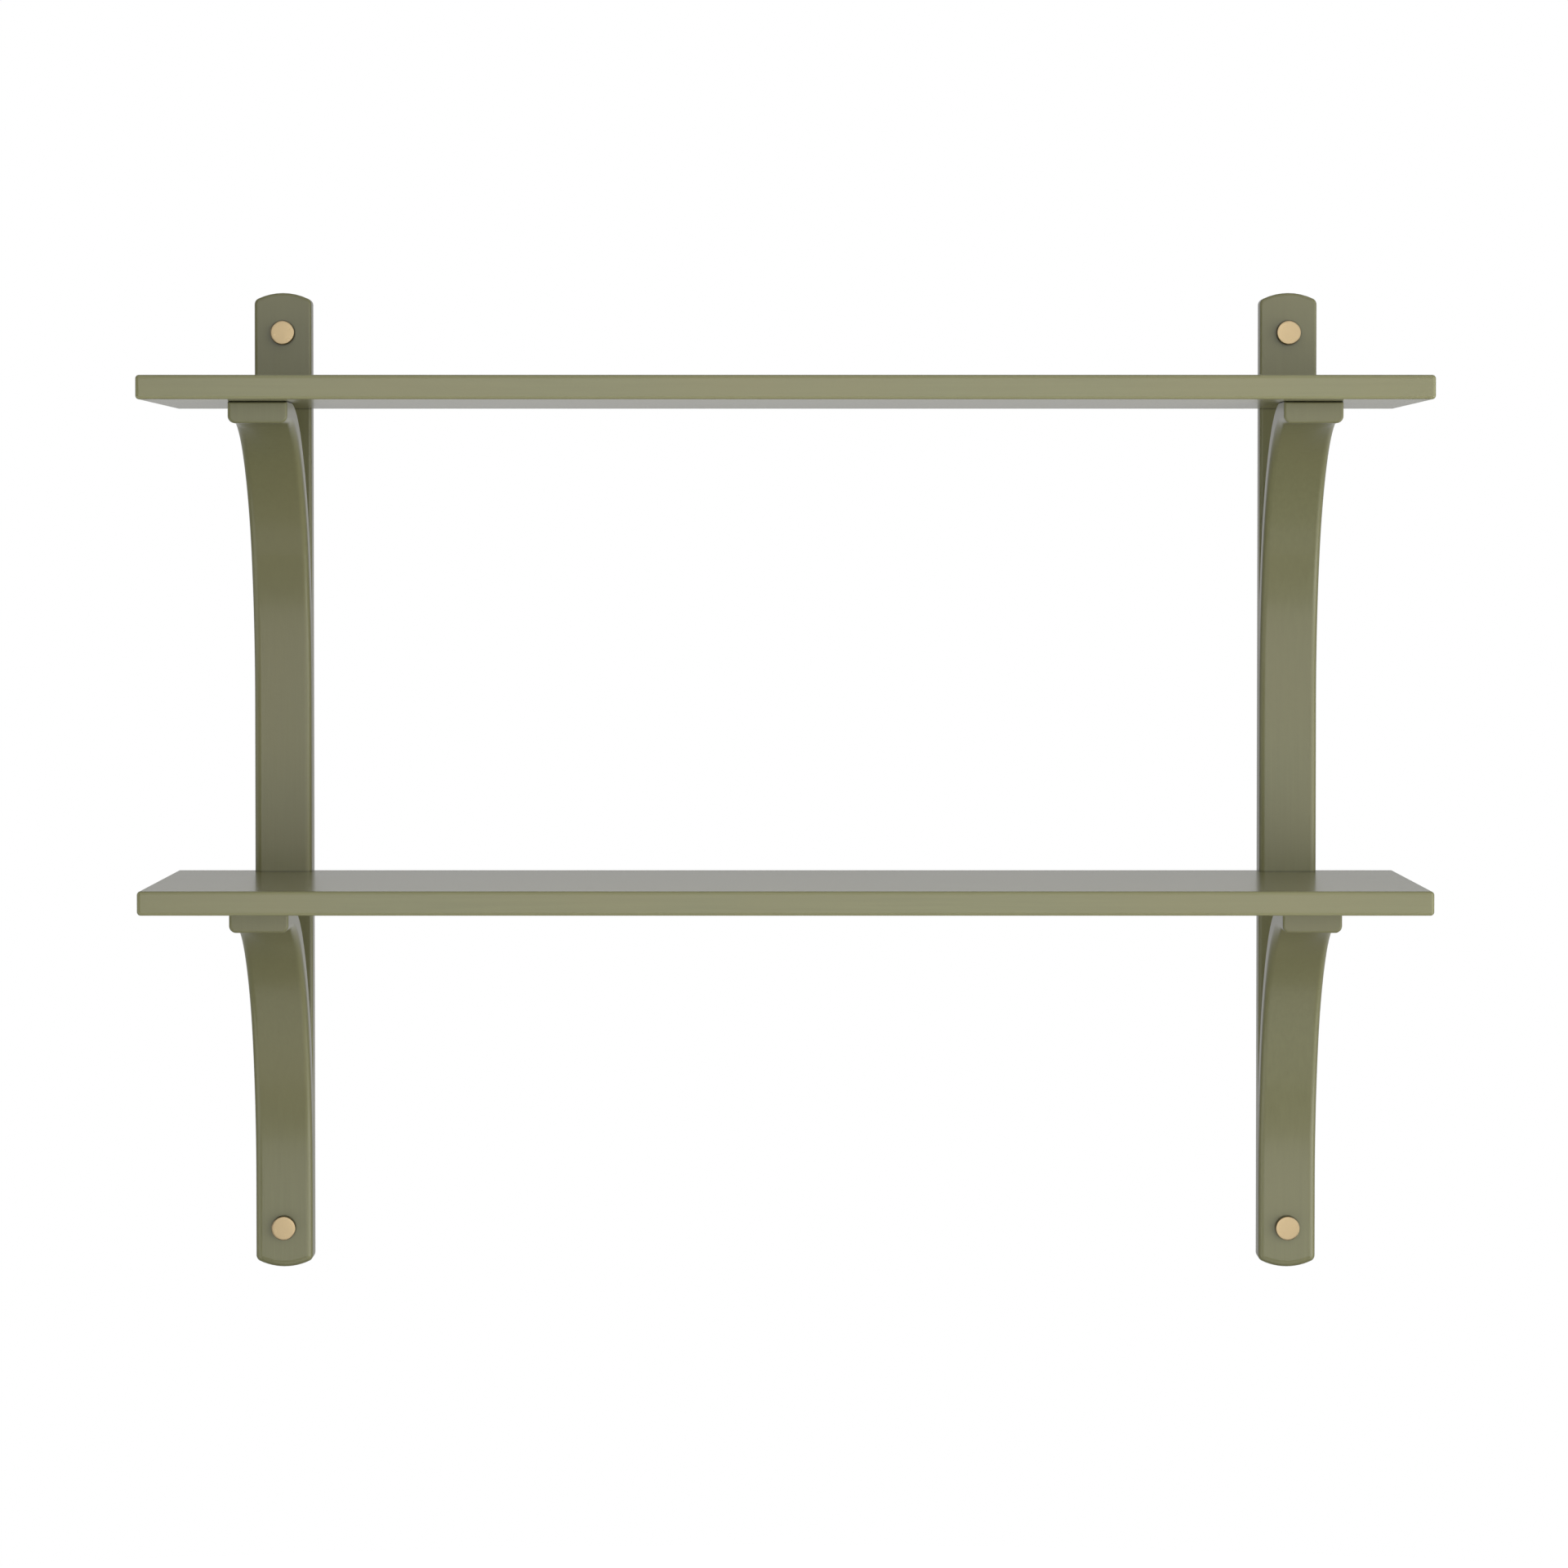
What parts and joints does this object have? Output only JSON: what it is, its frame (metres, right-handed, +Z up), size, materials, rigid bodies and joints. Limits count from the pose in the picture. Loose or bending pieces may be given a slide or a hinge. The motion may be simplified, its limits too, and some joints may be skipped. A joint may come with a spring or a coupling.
{
  "type": "wall shelf",
  "caption": "Wall shelf: thin lacquered boards, one above the other, carried by bent-wood brackets that are screwed to the wall under flat brass caps.",
  "frame": {"origin": "centre of the rectangle of four wall screws, on the wall plane", "axes": "+Z up, +X along the boards to the right as seen from the room, +Y into the wall"},
  "size_m": [0.85, 0.246, 0.6784],
  "materials": {
    "green_lacquer": "satin olive-green lacquer over fine-grained wood",
    "brass": "finely turned, satin",
    "zinc_steel": "bright zinc-plated"
  },
  "bodies": {
    "root": {"upper_shelf_board": "green_lacquer", "lower_shelf_board": "green_lacquer", "left_upright": "green_lacquer", "left_upper_arm": "green_lacquer", "left_upper_wall_screw": "zinc_steel", "left_upper_cap": "brass", "left_upper_shelf_screw_left": "zinc_steel", "left_upper_shelf_screw_right": "zinc_steel", "left_lower_arm": "green_lacquer", "left_lower_wall_screw": "zinc_steel", "left_lower_cap": "brass", "left_lower_shelf_screw_left": "zinc_steel", "left_lower_shelf_screw_right": "zinc_steel", "right_upright": "green_lacquer", "right_upper_arm": "green_lacquer", "right_upper_wall_screw": "zinc_steel", "right_upper_cap": "brass", "right_upper_shelf_screw_left": "zinc_steel", "right_upper_shelf_screw_right": "zinc_steel", "right_lower_arm": "green_lacquer", "right_lower_wall_screw": "zinc_steel", "right_lower_cap": "brass", "right_lower_shelf_screw_left": "zinc_steel", "right_lower_shelf_screw_right": "zinc_steel"}
  },
  "joints": []
}
